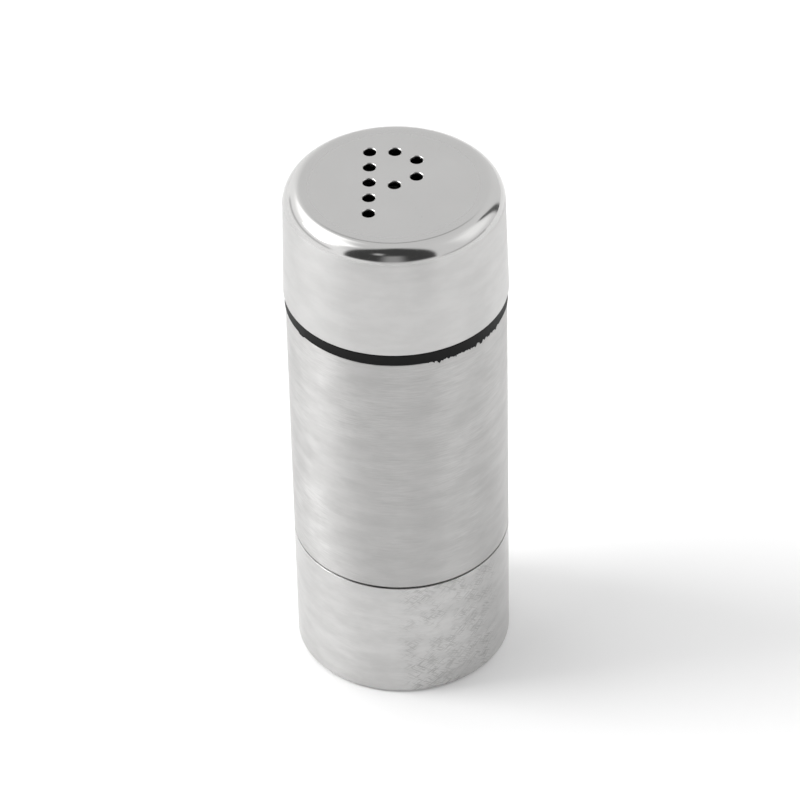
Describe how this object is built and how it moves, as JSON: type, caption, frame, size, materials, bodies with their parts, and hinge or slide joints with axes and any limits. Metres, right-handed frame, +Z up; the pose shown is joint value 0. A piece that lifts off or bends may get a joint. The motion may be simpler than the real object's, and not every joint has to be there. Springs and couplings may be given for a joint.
{
  "type": "pepper shaker",
  "caption": "Small cylindrical steel table shaker for pepper, with a pierced screw cap, a black sealing band and a plastic inner jar.",
  "frame": {"origin": "middle of the foot pad's underside, on the table", "axes": "+Z up along the shaker's axis, which is also the thread's axis; +Y towards the top of the letter set out in the cap's holes, +X to its right"},
  "size_m": [0.0386, 0.0386, 0.0987],
  "materials": {
    "brushed_steel": "fine circumferential brushing with light rub marks",
    "polished_steel": "satin flat top and side, polished shoulder",
    "jar_plastic": "black moulded plastic, fine spark-eroded texture",
    "band_rubber": "black rubber with a little moulding flash",
    "pad_rubber": "black rubber, matte",
    "liner_silicone": "translucent white silicone, matte"
  },
  "bodies": {
    "shaker_body": {"foot_pad": "pad_rubber", "base_cup": "brushed_steel", "body_sleeve": "brushed_steel", "inner_jar": "jar_plastic", "seal_band": "band_rubber"},
    "liner": {"cap_liner": "liner_silicone"},
    "cap": {"cap_shell": "polished_steel", "cap_insert": "jar_plastic"}
  },
  "joints": [
    {"name": "cap_rise", "type": "slide", "parent": "shaker_body", "child": "liner", "axis": [0, 0, 1], "range_m": [0, 0.02401]},
    {"name": "cap_turn", "type": "hinge", "parent": "liner", "child": "cap", "pos_m": [0, 0, 0], "axis": [0, 0, 1], "range_deg": [0, 720]}
  ],
  "couplings": [
    {"joint": "cap_rise", "follows": "cap_turn", "m_per_rad": 0.0019099}
  ]
}
